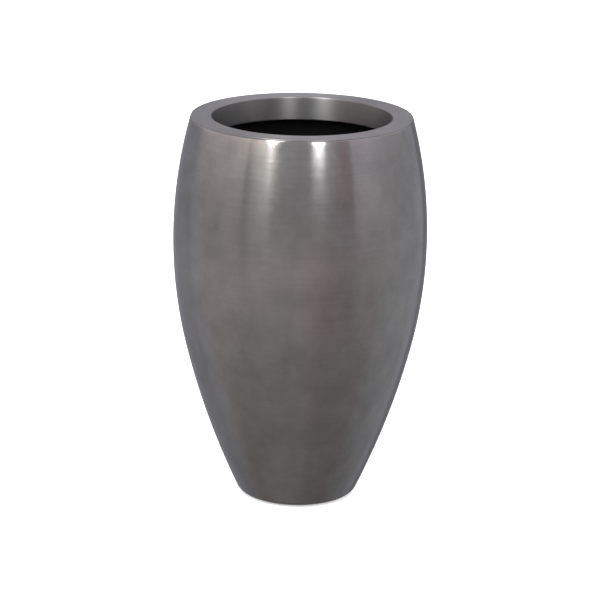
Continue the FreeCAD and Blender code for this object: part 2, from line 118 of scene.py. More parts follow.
def drawLine(name, points):
    # one corner pulled along (radius, height) points in the XZ plane
    deselectAll()
    bpy.ops.mesh.primitive_plane_add(size=0.001, location=(points[0][0], 0, points[0][1]))
    piece = bpy.context.object
    piece.name = name
    bpy.ops.object.mode_set(mode="EDIT")
    bpy.ops.mesh.select_all(action="SELECT")
    bpy.ops.mesh.merge(type="CENTER")
    for (x, z), (nextX, nextZ) in zip(points, points[1:]):
        bpy.ops.mesh.extrude_vertices_move(TRANSFORM_OT_translate={"value": (nextX - x, 0, nextZ - z)})
    bpy.ops.object.mode_set(mode="OBJECT")
    return piece


def turned(name, section, smoothAngle=30, steps=roundSteps, closed=True):
    # a section turned round the upright axis; one that isn't closed starts and ends on the axis
    piece = drawLine(name, section + section[:1] if closed else section)
    editAll(piece)
    bpy.ops.mesh.remove_doubles(threshold=closeEnough)
    bpy.ops.mesh.spin(steps=steps, angle=turn, center=axisPoint, axis=up)
    bpy.ops.object.mode_set(mode="OBJECT")
    placeInMesh(piece)
    tidyMesh(piece, smoothAngle)
    return piece


def copied(piece, name, angle):
    # a copy with its own mesh, turned round the upright axis
    selectOnly(piece)
    bpy.ops.object.duplicate(linked=False)
    other = bpy.context.object
    other.name = name
    other.rotation_euler = (0, 0, angle)
    placeInMesh(other)
    return other


def joined(pieces):
    selectOnly(pieces[0])
    for piece in pieces[1:]:
        piece.select_set(True)
    bpy.ops.object.join()
    return bpy.context.object


def combined(piece, other, operation):
    # adds the other solid to the piece, or cuts it out, and deletes it
    addModifier(piece, "BOOLEAN", operation=operation, object=other, solver="EXACT")
    selectOnly(other)
    bpy.ops.object.delete()


def addBlock(name, low, high):
    deselectAll()
    middle = [(a + b) / 2 for a, b in zip(low, high)]
    bpy.ops.mesh.primitive_cube_add(size=1, location=middle)
    piece = bpy.context.object
    piece.name = name
    piece.scale = [b - a for a, b in zip(low, high)]
    placeInMesh(piece)
    return piece


def bevelEdges(piece, isWanted, size, steps):
    # rounds the edges whose two ends pass the test
    selectOnly(piece)
    bpy.ops.object.mode_set(mode="EDIT")
    bpy.ops.mesh.select_all(action="DESELECT")
    bpy.ops.mesh.select_mode(type="EDGE")
    bpy.ops.object.mode_set(mode="OBJECT")
    for edge in piece.data.edges:
        a, b = (piece.data.vertices[i].co for i in edge.vertices)
        edge.select = isWanted(a, b)
    bpy.ops.object.mode_set(mode="EDIT")
    bpy.ops.mesh.bevel(offset=size, segments=steps, affect="EDGES")
    bpy.ops.mesh.select_mode(type="VERT")
    bpy.ops.object.mode_set(mode="OBJECT")


def addRod(name, centre, radius, length, rotation):
    deselectAll()
    bpy.ops.mesh.primitive_cylinder_add(vertices=holeSides, radius=radius, depth=length, location=centre,
                                        rotation=rotation)
    piece = bpy.context.object
    piece.name = name
    placeInMesh(piece)
    return piece


def pull(offset):
    bpy.ops.mesh.extrude_region_move(TRANSFORM_OT_translate={"value": offset})


def widen(ratio, centre):
    bpy.ops.transform.resize(value=(ratio, ratio, ratio), center_override=centre)


def sweep(angle, centre, steps):
    # carries the selected ring round an upright axis; spin itself turns clockwise seen from above
    bpy.ops.mesh.spin(steps=steps, angle=-angle, center=centre, axis=up)


def addModifier(piece, kind, **settings):
    selectOnly(piece)
    modifier = piece.modifiers.new(kind.lower(), kind)
    for key, value in settings.items():
        setattr(modifier, key, value)
    bpy.ops.object.modifier_apply(modifier=modifier.name)


def easeEdges(piece, size, sharperThan):
    # a small bevel on every edge that turns by more than an angle
    addModifier(piece, "BEVEL", width=size, segments=2, limit_method="ANGLE",
                angle_limit=math.radians(sharperThan))


def giveMaterial(piece, *materials):
    piece.data.materials.clear()
    for material in materials:
        piece.data.materials.append(material)


def belongs(piece, body, slot, *nodes):
    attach(piece, body)
    if nodes:
        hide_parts(*nodes)


# Material helpers

class Nodes:
    # makes and joins the nodes of one material or world
    def __init__(self, tree):
        self.tree = tree

    def add(self, kind, inputs=None, **settings):
        node = self.tree.nodes.new(kind)
        for key, value in settings.items():
            setattr(node, key, value)
        for socket, value in (inputs or {}).items():
            if isinstance(value, bpy.types.NodeSocket):
                self.tree.links.new(value, node.inputs[socket])
            else:
                node.inputs[socket].default_value = value
        return node

    def math(self, operation, *values):
        node = self.add("ShaderNodeMath", operation=operation)
        for socket, value in enumerate(values):
            if isinstance(value, bpy.types.NodeSocket):
                self.tree.links.new(value, node.inputs[socket])
            else:
                node.inputs[socket].default_value = value
        return node.outputs[0]

    def scaled(self, value, low, high, toLow, toHigh, kind="LINEAR"):
        node = self.add("ShaderNodeMapRange", {0: value, 1: low, 2: high, 3: toLow, 4: toHigh},
                        interpolation_type=kind)
        return node.outputs[0]

    def spreadOut(self, noise, toLow, toHigh, middle=(0.3, 0.7)):
        # noise keeps near its middle, so what lies between two values is stretched
        return self.scaled(noise, *middle, toLow, toHigh)

    def window(self, value, low, high, softLow, softHigh):
        # 1 between low and high, 0 outside, with a soft edge at each end
        rise = self.scaled(value, low - softLow / 2, low + softLow / 2, 0.0, 1.0, "SMOOTHSTEP")
        fall = self.scaled(value, high - softHigh / 2, high + softHigh / 2, 1.0, 0.0, "SMOOTHSTEP")
        return self.math("MULTIPLY", rise, fall)

    def mixed(self, factor, a, b, blend="MIX"):
        node = self.add("ShaderNodeMix", {0: factor, 6: a, 7: b}, data_type="RGBA", blend_type=blend)
        return node.outputs[2]

    def relief(self, height, strength, depth, shader):
        bump = self.add("ShaderNodeBump", {"Strength": strength, "Distance": depth, "Height": height})
        self.link(bump.outputs[0], shader, "Normal")

    def noise(self, vector, scale, detail=2, roughness=0.5):
        node = self.add("ShaderNodeTexNoise", {"Vector": vector, "Scale": scale, "Detail": detail,
                                               "Roughness": roughness})
        return node.outputs[0]

    def ramp(self, factor, stops):
        # stops are (place, colour) pairs
        node = self.add("ShaderNodeValToRGB", {0: factor})
        elements = node.color_ramp.elements
        for place, colour in stops[2:]:
            elements.new(place)
        for element, (place, colour) in zip(elements, stops):
            element.position = place
            element.color = (*colour, 1)
        return node.outputs[0]

    def link(self, output, node, socket):
        self.tree.links.new(output, node.inputs[socket])


def newMaterial(name, viewColour):
    material = bpy.data.materials.new(name)
    material.use_nodes = True
    material.diffuse_color = (*viewColour, 1)
    return material, Nodes(material.node_tree), material.node_tree.nodes["Principled BSDF"]


# Brushed dark steel: fine lines round the axis, a little cloudy where the hand has rubbed it

barrelLooks = {
    "colour": (0.440, 0.431, 0.431),
    "darker": (0.322, 0.316, 0.317),
    "edgeTint": (0.78, 0.78, 0.82),
    "lineAround": 1.6,          # how often a brush line changes on its way round
    "lineAcross": 4200,         # lines per metre of height
    "wideLine": 9,              # a wide line takes up as many fine ones
    "cloudScale": 10.0,
    "smearScale": (26.0, 26.0, 22.0),
    "polished": 0.11,           # roughness on the ridges
    "scratched": 0.21,          # roughness in the grooves
    "cloudy": 0.03,             # how far the clouds change the roughness
    "grooves": (0.36, 0.66),    # the part of the noise that makes each of these
    "stripes": (0.35, 0.65),
    "stains": (0.32, 0.68),
    "spread": 0.86,
    "lineTone": 0.13,           # how much of the darker colour each of these lays on
    "cloudTone": 0.50,
    "smearTone": 0.50,
    "bump": 0.0008,
    "bumpDepth": 0.0004,
}
# the rim is the same steel with a rougher, broader gloss; its colour is set a little darker than the
# barrel's as painted shade, to dim the lip and collar
rimLooksWithPaintedShade = dict(barrelLooks, polished=0.32, scratched=0.50, spread=0.84, cloudy=0.02, smearTone=0.2,
                colour=(0.389, 0.383, 0.388), darker=(0.312, 0.307, 0.311))


def brushedMetal(name, looks):
    material, nodes, shader = newMaterial(name, looks["colour"])
    place = nodes.add("ShaderNodeTexCoord").outputs["Object"]
    split = nodes.add("ShaderNodeSeparateXYZ", {0: place}).outputs
    fromAxis = nodes.add("ShaderNodeCombineXYZ", {0: split[0], 1: split[1], 2: 0.0}).outputs[0]
    radius = nodes.add("ShaderNodeVectorMath", {0: fromAxis}, operation="LENGTH").outputs["Value"]
    outward = nodes.add("ShaderNodeVectorMath", {0: fromAxis}, operation="NORMALIZE").outputs[0]
    spoke = nodes.add("ShaderNodeSeparateXYZ", {0: outward}).outputs
    across = nodes.math("ADD", split[2], radius)

    # brush lines: slow round the axis, quick across it
    aroundX = nodes.math("MULTIPLY", spoke[0], looks["lineAround"])
    aroundY = nodes.math("MULTIPLY", spoke[1], looks["lineAround"])
    acrossFine = nodes.math("MULTIPLY", across, looks["lineAcross"])
    linePlace = nodes.add("ShaderNodeCombineXYZ", {0: aroundX, 1: aroundY, 2: acrossFine}).outputs[0]
    lines = nodes.noise(linePlace, 1.0, detail=3, roughness=0.6)
    acrossWide = nodes.math("MULTIPLY", across, looks["lineAcross"] / looks["wideLine"])
    widePlace = nodes.add("ShaderNodeCombineXYZ", {0: aroundX, 1: aroundY, 2: acrossWide}).outputs[0]
    wideLines = nodes.noise(widePlace, 1.0, detail=2, roughness=0.5)
    clouds = nodes.noise(place, looks["cloudScale"], detail=4, roughness=0.55)

    # roughness: mostly polished ridges, some open grooves, cloudy
    groove = nodes.spreadOut(lines, looks["polished"], looks["scratched"], looks["grooves"])
    cloudy = nodes.spreadOut(clouds, -looks["cloudy"], looks["cloudy"])
    nodes.link(nodes.math("ADD", groove, cloudy), shader, "Roughness")

    # colour: darker in the grooves, in soft clouds and in smears rubbed round the axis
    smearPlace = nodes.add("ShaderNodeMapping", {"Vector": place, "Scale": looks["smearScale"]}).outputs[0]
    smears = nodes.noise(smearPlace, 1.0, detail=3, roughness=0.6)
    lineTone = nodes.spreadOut(wideLines, 0.0, looks["lineTone"], looks["stripes"])
    cloudTone = nodes.spreadOut(clouds, 0.0, looks["cloudTone"], looks["stains"])
    smearTone = nodes.spreadOut(smears, 0.0, looks["smearTone"], looks["stains"])
    tone = nodes.math("ADD", nodes.math("ADD", lineTone, cloudTone), smearTone)
    colour = nodes.mixed(tone, (*looks["colour"], 1), (*looks["darker"], 1))
    nodes.link(colour, shader, "Base Color")

    shader.inputs["Metallic"].default_value = 1
    shader.inputs["Specular Tint"].default_value = (*looks["edgeTint"], 1)
    shader.inputs["Anisotropic"].default_value = looks["spread"]
    shader.inputs["Anisotropic Rotation"].default_value = 0.25      # the gloss spreads across the lines
    tangent = nodes.add("ShaderNodeTangent", direction_type="RADIAL", axis="Z").outputs[0]
    nodes.link(tangent, shader, "Tangent")
    nodes.relief(wideLines, looks["bump"], looks["bumpDepth"], shader)
    return material


brushedSteel = brushedMetal("brushed_dark_steel", barrelLooks)
brushedRimWithPaintedShade = brushedMetal("brushed_dark_rim_painted_shade", rimLooksWithPaintedShade)


# Black coat on the inside of the sheet

coatLooks = {
    "colour": (0.0070, 0.0070, 0.0074),
    "darker": (0.0045, 0.0045, 0.0047),
    "roughness": (0.42, 0.60),
    "grain": 900,
    "drift": 14.0,
    "bump": 0.15,
    "bumpDepth": 0.0002,
}


def blackCoat(name, looks):
    material, nodes, shader = newMaterial(name, looks["colour"])
    place = nodes.add("ShaderNodeTexCoord").outputs["Object"]
    grain = nodes.noise(place, looks["grain"], detail=2)
    drift = nodes.noise(place, looks["drift"], detail=3)
    tone = nodes.spreadOut(drift, 0.0, 1.0)
    nodes.link(nodes.mixed(tone, (*looks["colour"], 1), (*looks["darker"], 1)), shader, "Base Color")
    nodes.link(nodes.spreadOut(drift, *looks["roughness"]), shader, "Roughness")
    nodes.relief(grain, looks["bump"], looks["bumpDepth"], shader)
    return material


blackPaint = blackCoat("black_inner_coat", coatLooks)


# Moulded plastic and rubber: a fine matt grain and a faint drift in tone

linerLooks = {
    "colour": (0.022, 0.022, 0.023),
    "darker": (0.014, 0.014, 0.015),
    "roughness": (0.38, 0.55),
    "grain": 1400,
    "bump": 0.25,
}
bungLooks = {
    "colour": (0.055, 0.055, 0.060),
    "darker": (0.040, 0.040, 0.043),
    "roughness": (0.50, 0.66),
    "grain": 1900,
    "bump": 0.2,
}
padLooks = {
    "colour": (0.024, 0.024, 0.024),
    "darker": (0.016, 0.016, 0.016),
    "roughness": (0.62, 0.80),
    "grain": 1700,
    "bump": 0.35,
}
gripLooks = {
    "colour": (0.018, 0.018, 0.019),
    "darker": (0.012, 0.012, 0.012),
    "roughness": (0.30, 0.42),
    "grain": 2400,
    "bump": 0.12,
}
mouldDrift = 22.0
mouldDepth = 0.0003
driftShare = 0.7


def moulded(name, looks):
    material, nodes, shader = newMaterial(name, looks["colour"])
    place = nodes.add("ShaderNodeTexCoord").outputs["Object"]
    fine = nodes.noise(place, looks["grain"], detail=3, roughness=0.6)
    drift = nodes.noise(place, mouldDrift, detail=4, roughness=0.6)
    driftTone = nodes.spreadOut(drift, 0.0, driftShare)
    tone = nodes.math("ADD", driftTone, nodes.spreadOut(fine, 0.0, 1 - driftShare))
    nodes.link(nodes.mixed(tone, (*looks["colour"], 1), (*looks["darker"], 1)), shader, "Base Color")
    nodes.link(nodes.spreadOut(drift, *looks["roughness"]), shader, "Roughness")
    nodes.relief(fine, looks["bump"], mouldDepth, shader)
    return material


linerPlastic = moulded("black_liner_plastic", linerLooks)
bungRubber = moulded("grey_bung_rubber", bungLooks)
padRubber = moulded("black_pad_rubber", padLooks)
gripPlastic = moulded("black_grip_plastic", gripLooks)


# Zinc on drawn wire: bright, faintly spangled

zincLooks = {
    "colour": (0.60, 0.61, 0.62),
    "darker": (0.47, 0.48, 0.50),
    "roughness": (0.24, 0.40),
    "spangle": 260.0,
    "spangles": (0.35, 0.65),
    "drift": 40.0,
    "bump": 0.08,
    "bumpDepth": 0.0002,
}


def zincPlate(name, looks):
    material, nodes, shader = newMaterial(name, looks["colour"])
    place = nodes.add("ShaderNodeTexCoord").outputs["Object"]
    spangle = nodes.noise(place, looks["spangle"], detail=2)
    drift = nodes.noise(place, looks["drift"], detail=3)
    tone = nodes.spreadOut(spangle, 0.0, 1.0, looks["spangles"])
    nodes.link(nodes.mixed(tone, (*looks["colour"], 1), (*looks["darker"], 1)), shader, "Base Color")
    nodes.link(nodes.spreadOut(drift, *looks["roughness"]), shader, "Roughness")
    shader.inputs["Metallic"].default_value = 1
    nodes.relief(spangle, looks["bump"], looks["bumpDepth"], shader)
    return material


zincWire = zincPlate("zinc_plated_wire", zincLooks)
print("materials are ready")


# Barrel: one spun sheet, turned in at the foot and under the rim

barrel = {
    "bellyRadius": 0.2275,
    "bellyHeight": 0.476,
    "upperArc": 0.833,
    "lowerArc": 1.436,
    "arcChange": 0.280,
    "footHeight": 0.002,
    "footRound": 0.018,
    "footOpening": 0.074,
    "shoulderHeight": 0.698,
    "shoulderRound": 0.002,
    "shoulderOpening": 0.180,
    "sheet": 0.0015,
    "footSteps": 14,
    "lowerSteps": 36,
    "upperSteps": 56,
    "shoulderSteps": 5,
    "insideHeight": 0.35,       # a point that all of the black inside looks towards
}


def barrelSide(inset):
    # (radius, height) points of one face of the sheet, from the foot flange up
    b = barrel
    upper = Vector((b["bellyRadius"] - b["upperArc"], b["bellyHeight"]))
    rise = b["arcChange"] - upper.y
    change = Vector((upper.x + math.sqrt(b["upperArc"] ** 2 - rise ** 2), b["arcChange"]))
    lower = change + (upper - change) * (b["lowerArc"] / b["upperArc"])
    footHeight = b["footHeight"] + b["footRound"]
    drop = footHeight - lower.y
    foot = Vector((lower.x + math.sqrt((b["lowerArc"] - b["footRound"]) ** 2 - drop ** 2), footHeight))
    topHeight = b["shoulderHeight"] - b["shoulderRound"]
    rise = topHeight - upper.y
    top = Vector((upper.x + math.sqrt((b["upperArc"] - b["shoulderRound"]) ** 2 - rise ** 2), topHeight))

    def lean(centre, point):
        away = point - centre
        return math.degrees(math.atan2(away.y, away.x))

    footLean = lean(lower, foot)
    changeLean = lean(upper, change)
    topLean = lean(upper, top)
    points = [(b["footOpening"], b["footHeight"] + inset)]
    points += arcPoints(foot, b["footRound"] - inset, -90, footLean, b["footSteps"])
    points += arcPoints(lower, b["lowerArc"] - inset, footLean, changeLean, b["lowerSteps"])[1:]
    points += arcPoints(upper, b["upperArc"] - inset, changeLean, topLean, b["upperSteps"])[1:]
    points += arcPoints(top, b["shoulderRound"] - inset, topLean, 90, b["shoulderSteps"])[1:]
    points.append((b["shoulderOpening"], b["shoulderHeight"] - inset))
    return points


def paintInside(piece, centre):
    # faces that look towards a point inside get the second material
    for face in piece.data.polygons:
        if face.normal.dot(face.center - centre) < 0:
            face.material_index = 1


bodyShell = turned("bodyShell", barrelSide(0) + barrelSide(barrel["sheet"])[::-1])
giveMaterial(bodyShell, brushedSteel, blackPaint)
paintInside(bodyShell, Vector((0, 0, barrel["insideHeight"])))
belongs(bodyShell, "vessel", "brushed_metal", "body_shell")
print("barrel is ready")


# Rim: flat lip, rolled inner corner, short collar with a hem folded outwards

rim = {
    "top": 0.700,
    "sheet": 0.002,
    "lipRadius": 0.1968,
    "lipEdge": 0.0014,
    "mouth": 0.160,
    "bend": 0.003,
    "collarFoot": 0.6565,
    "hemGap": 0.0006,
    "hemLeg": 0.008,
    "bendSteps": 8,
    "innerBendSteps": 5,
    "edgeSteps": 6,
    "foldSteps": 12,
    "innerFoldSteps": 6,
    "smooth": 40,
}


def rimSection():
    r = rim
    back = r["mouth"] + r["sheet"]
    under = r["top"] - r["sheet"]
    fold = r["sheet"] + r["hemGap"] / 2
    hem = (r["mouth"] + fold, r["collarFoot"] + fold)
    corner = (r["mouth"] + r["bend"], r["top"] - r["bend"])
    edge = (r["lipRadius"] - r["lipEdge"], r["top"] - r["lipEdge"])
    legTop = hem[1] + r["hemLeg"]
    points = arcPoints(corner, r["bend"], 180, 90, r["bendSteps"])
    points += arcPoints(edge, r["lipEdge"], 90, 0, r["edgeSteps"])
    points.append((r["lipRadius"], under))
    points += arcPoints(corner, r["bend"] - r["sheet"], 90, 180, r["innerBendSteps"])
    points += arcPoints(hem, r["hemGap"] / 2, -180, 0, r["innerFoldSteps"])
    points.append((hem[0] + r["hemGap"] / 2, legTop))
    points.append((hem[0] + fold, legTop))
    points += arcPoints(hem, fold, 0, -180, r["foldSteps"])
    return points


rimRing = turned("rimRing", rimSection(), smoothAngle=rim["smooth"])
giveMaterial(rimRing, brushedRimWithPaintedShade)
belongs(rimRing, "vessel", "brushed_metal", "rim_ring")
print("rim is ready")


# Foot: a disc welded on the foot flange, and four round rubber pads under it

foot = {
    "plateRadius": 0.092,
    "plateLow": 0.0035,
    "plateHigh": 0.006,
    "drain": 0.010,
    "underEdge": 0.0003,
    "topEdge": 0.0005,
    "drainEdge": 0.0006,
    "plateSteps": 128,
    "beadSize": 0.0016,
    "beadOut": 0.0004,          # how far its core lies outside the plate
    "beadRise": 0.95,           # how high it lies, in bead sizes
    "beadSegments": 600,
    "beadSides": 10,
    "beadRipples": 150,
    "rippleDepth": 0.10,
    "beadSways": 7,
    "swayDepth": 0.05,
    "padCircle": 0.084,
    "padRadius": 0.008,
    "padHeight": 0.002,
    "padTopEdge": 0.0001,
    "dimple": (0.0045, 0.0035, 0.0006),     # radius at its mouth and at its floor, and its depth
    "dimpleEdges": (0.0002, 0.0003),
    "padSteps": 48,
}


def makeBasePlate():
    f = foot
    section = roundedSection([
        (f["drain"], f["plateLow"], f["underEdge"]),
        (f["plateRadius"], f["plateLow"], f["underEdge"]),
        (f["plateRadius"], f["plateHigh"], f["topEdge"]),
        (f["drain"], f["plateHigh"], f["drainEdge"]),
    ])
    plate = turned("basePlate", section, steps=f["plateSteps"])
    # the weld bead round its edge, rippled as it was laid
    deselectAll()
    middle = Vector((0, 0, f["plateLow"] + f["beadSize"] * f["beadRise"]))
    beadRadius = f["plateRadius"] + f["beadOut"]
    bpy.ops.mesh.primitive_torus_add(major_radius=beadRadius, minor_radius=f["beadSize"], location=middle,
                                     major_segments=f["beadSegments"], minor_segments=f["beadSides"])
    bead = bpy.context.object
    placeInMesh(bead)
    for corner in bead.data.vertices:
        outward = Vector((corner.co.x, corner.co.y, 0)).normalized()
        core = middle + outward * beadRadius
        angle = math.atan2(outward.y, outward.x)
        swell = 1 + f["rippleDepth"] * math.cos(angle * f["beadRipples"])
        swell += f["swayDepth"] * math.sin(angle * f["beadSways"])
        corner.co = core + (corner.co - core) * swell
    tidyMesh(bead, 50)
    plate = joined([plate, bead])
    plate.name = "basePlate"
    giveMaterial(plate, blackPaint)
    belongs(plate, "vessel", "bare_sheet", "base_plate")


def makeFootPads():
    f = foot
    dimpleMouth, dimpleFloor, dimpleDepth = f["dimple"]
    mouthEdge, floorEdge = f["dimpleEdges"]
    section = roundedSection([
        (dimpleMouth, 0.0, mouthEdge),
        (f["padRadius"], 0.0, f["topEdge"]),
        (f["padRadius"], f["padHeight"], f["padTopEdge"]),
        (0.0, f["padHeight"], 0),
        (0.0, dimpleDepth, 0),
        (dimpleFloor, dimpleDepth, floorEdge),
    ], steps=3)
    # the section is opened at the axis, where it starts and ends
    onAxis = [i for i, point in enumerate(section) if point[0] == 0.0]
    section = section[onAxis[-1]:] + section[:onAxis[0] + 1]
    pad = turned("footPads", section, steps=f["padSteps"], closed=False)
    # half way between the front and the side
    pad.location = (f["padCircle"] * math.sqrt(0.5), f["padCircle"] * math.sqrt(0.5), 0)
    placeInMesh(pad)
    others = [copied(pad, "footPad", turn * k / 4) for k in (1, 2, 3)]
    pad = joined([pad] + others)
    pad.name = "footPads"
    giveMaterial(pad, padRubber)
    belongs(pad, "vessel", "pad_rubber", "foot_pads")


makeBasePlate()
makeFootPads()
print("foot is ready")


# Brackets: four rolled angles on the wall, which the liner's flange hangs on

bracket = {
    "count": 4,
    "sheet": 0.003,
    "bend": 0.004,
    "shelf": 0.592,
    "leg": 0.045,
    "tip": 0.1475,
    "angle": 9.0,
    "tipRound": 0.006,
    "tipAngle": 2.5,            # one step of the turn, wide enough for the rounded corner
    "edge": 0.0004,
    "arcSteps": 6,
    "smooth": 35,
}


def makeBrackets():
    b = bracket
    wall = barrel["upperArc"] - barrel["sheet"]
    centre = Vector((barrel["bellyRadius"] - barrel["upperArc"], barrel["bellyHeight"]))
    bendHeight = b["shelf"] - b["bend"]
    bendCentre = (centre.x + math.sqrt((wall - b["bend"]) ** 2 - (bendHeight - centre.y) ** 2), bendHeight)
    lean = math.degrees(math.atan2(bendCentre[1] - centre.y, bendCentre[0] - centre.x))
    low = math.degrees(math.asin((b["shelf"] - b["leg"] - centre.y) / wall))
    section = [(b["tip"], b["shelf"])]
    section += arcPoints(bendCentre, b["bend"], 90, lean, b["arcSteps"])
    section += arcPoints(centre, wall, lean, low, b["arcSteps"])[1:]
    section += arcPoints(centre, wall - b["sheet"], low, lean, b["arcSteps"])
    section += arcPoints(bendCentre, b["bend"] - b["sheet"], lean, 90, b["arcSteps"])[1:]
    section.append((b["tip"], b["shelf"] - b["sheet"]))
    piece = drawLine("linerBrackets", section + section[:1])
    half = math.radians(b["angle"] / 2)
    editAll(piece)
    bpy.ops.mesh.remove_doubles(threshold=closeEnough)
    bpy.ops.mesh.edge_face_add()
    tipAngle = math.radians(b["tipAngle"])
    sweep(tipAngle, axisPoint, 1)
    sweep(2 * (half - tipAngle), axisPoint, b["arcSteps"])
    sweep(tipAngle, axisPoint, 1)
    bpy.ops.object.mode_set(mode="OBJECT")
    placeInMesh(piece)
    piece.rotation_euler = (0, 0, -half)
    placeInMesh(piece)
    # the two free corners of the shelf are rounded, then all sharp edges are eased
    tidyMesh(piece, b["smooth"])

    def isTipCorner(a, c):
        level = abs(a.z - c.z) < b["sheet"] / 2
        atEnd = abs(abs(math.atan2(a.y, a.x)) - half) < nearAngle and abs(a.y - c.y) < nearLength
        atTip = max(math.hypot(a.x, a.y), math.hypot(c.x, c.y)) < b["tip"] + nearLength
        return atEnd and atTip and not level

    bevelEdges(piece, isTipCorner, b["tipRound"], b["arcSteps"])
    easeEdges(piece, b["edge"], 50)
    tidyMesh(piece, b["smooth"])
    others = [copied(piece, "linerBracket", turn * k / b["count"]) for k in range(1, b["count"])]
    piece = joined([piece] + others)
    piece.name = "linerBrackets"
    giveMaterial(piece, blackPaint)
    belongs(piece, "vessel", "bare_sheet", "liner_brackets")


makeBrackets()
print("brackets are ready")


# Liner: a moulded pot with a stepped side, a flange and an ear on each side

liner = {
    "foot": (0.118, 0.330, 0.012),
    "stepBelow": (0.141, 0.538, 0.002),
    "stepAbove": (0.1445, 0.5415, 0.001),
    "underFlange": (0.1459, 0.597, 0.0008),
    "skirtInside": (0.153, 0.597, 0.0005),
    "flange": 0.156,
    "skirtFoot": 0.592,
    "top": 0.600,
    "mouth": (0.1430, 0.600, 0.0012),
    "innerAbove": (0.1415, 0.5427, 0.001),
    "innerBelow": (0.1380, 0.5392, 0.001),
    "innerFoot": (0.1153, 0.333, 0.009),
    "floor": 0.333,
    "ridges": (0.096, 0.072, 0.048, 0.028),
    "ridgeHeight": 0.0012,
    "ridgeHalfWidths": (0.0022, 0.0010),    # at its foot and at its top
    "ridgeRound": 0.0004,
    "drain": 0.010,
    "drainEdge": 0.0005,
    "skirtInnerEdge": 0.0004,
    "skirtOuterEdge": 0.0006,
    "flangeEdge": 0.0014,
    "earStart": 0.1488,
    "earThick": 0.004,
    "earHalfWidth": 0.016,
    "earSink": 0.001,
    "earTop": 0.6143,
    "earRound": 0.007,
    "earEdge": 0.0004,
    "hingeHeight": 0.6073,
    "hingeOffset": 0.009,
    "hingeHole": 0.0026,
}


def makeLiner():
    n = liner
    corners = [
        (n["drain"], n["foot"][1], n["drainEdge"]),
        n["foot"],
        n["stepBelow"],
        n["stepAbove"],
        n["underFlange"],
        n["skirtInside"],
        (n["skirtInside"][0], n["skirtFoot"], n["skirtInnerEdge"]),
        (n["flange"], n["skirtFoot"], n["skirtOuterEdge"]),
        (n["flange"], n["top"], n["flangeEdge"]),
        n["mouth"],
        n["innerAbove"],
        n["innerBelow"],
        n["innerFoot"],
    ]
    ridgeFoot, ridgeTop = n["ridgeHalfWidths"]
    for radius in n["ridges"]:
        corners += [
            (radius + ridgeFoot, n["floor"], 0),
            (radius + ridgeTop, n["floor"] + n["ridgeHeight"], n["ridgeRound"]),
            (radius - ridgeTop, n["floor"] + n["ridgeHeight"], n["ridgeRound"]),
            (radius - ridgeFoot, n["floor"], 0),
        ]
    corners.append((n["drain"], n["floor"], n["drainEdge"]))
    pot = turned("potLiner", roundedSection(corners, steps=3), smoothAngle=35)

    low = (n["earStart"], -n["earHalfWidth"], n["underFlange"][1] + n["earSink"])
    high = (n["earStart"] + n["earThick"], n["earHalfWidth"], n["earTop"])
    ear = addBlock("ear", low, high)

    def isTopCorner(a, c):
        top = n["earTop"] - closeEnough
        return a.z > top and c.z > top and abs(a.y - c.y) < closeEnough

    bevelEdges(ear, isTopCorner, n["earRound"], 8)
    middle = n["earStart"] + n["earThick"] / 2
    for offset in (-n["hingeOffset"], n["hingeOffset"]):
        cutter = addRod("hingeCutter", (middle, offset, n["hingeHeight"]), n["hingeHole"], cutLength,
                        (0, math.radians(90), 0))
        combined(ear, cutter, "DIFFERENCE")
    easeEdges(ear, n["earEdge"], 60)
    tidyMesh(ear, 35)
    other = copied(ear, "otherEar", math.pi)
    for part in (ear, other):
        combined(pot, part, "UNION")
    tidyMesh(pot, 35)
    giveMaterial(pot, linerPlastic)
    belongs(pot, "liner", "liner_plastic", "liner")


makeLiner()
print("liner is ready")


# Bung: a rubber plug with a domed head and a pull tab

bung = {
    "point": 0.328,
    "taper": 0.0015,
    "stem": 0.00985,
    "seat": 0.333,
    "head": 0.016,
    "headTop": 0.3375,
    "dome": 0.002,
    "tabHalfWidth": 0.008,
    "tabHalfThick": 0.002,
    "tabTop": 0.3505,
    "tabRound": 0.006,
    "tabHole": 0.0035,
    "tabSink": 0.001,
    "tabEdge": 0.0005,
    "pointEdge": 0.0003,
    "stemEdge": 0.0004,
    "seatEdge": 0.0002,
    "headEdge": 0.0004,
    "steps": 64,
}


def makeBung():
    b = bung
    corners = [
        (0.0, b["point"], 0),
        (b["stem"] - b["taper"], b["point"], b["pointEdge"]),
        (b["stem"], b["point"] + b["taper"], b["stemEdge"]),
        (b["stem"], b["seat"], b["seatEdge"]),
        (b["head"], b["seat"], b["headEdge"]),
        (b["head"], b["headTop"], b["dome"]),
        (0.0, b["headTop"], 0),
    ]
    plug = turned("drainBung", roundedSection(corners), smoothAngle=35, steps=b["steps"], closed=False)
    low = (-b["tabHalfWidth"], -b["tabHalfThick"], b["headTop"] - b["tabSink"])
    high = (b["tabHalfWidth"], b["tabHalfThick"], b["tabTop"])
    tab = addBlock("tab", low, high)

    def isTopCorner(a, c):
        top = b["tabTop"] - closeEnough
        return a.z > top and c.z > top and abs(a.x - c.x) < closeEnough

    bevelEdges(tab, isTopCorner, b["tabRound"], 8)
    cutter = addRod("tabCutter", (0, 0, b["tabTop"] - b["tabRound"]), b["tabHole"], cutLength,
                    (math.radians(90), 0, 0))
    combined(tab, cutter, "DIFFERENCE")
    easeEdges(tab, b["tabEdge"], 60)
    combined(plug, tab, "UNION")
    tidyMesh(plug, 35)
    giveMaterial(plug, bungRubber)
    belongs(plug, "drain_bung", "bung_rubber", "drain_bung")


makeBung()
print("bung is ready")


# Bails: one bent wire each with upset ends, and a grip with finger ridges

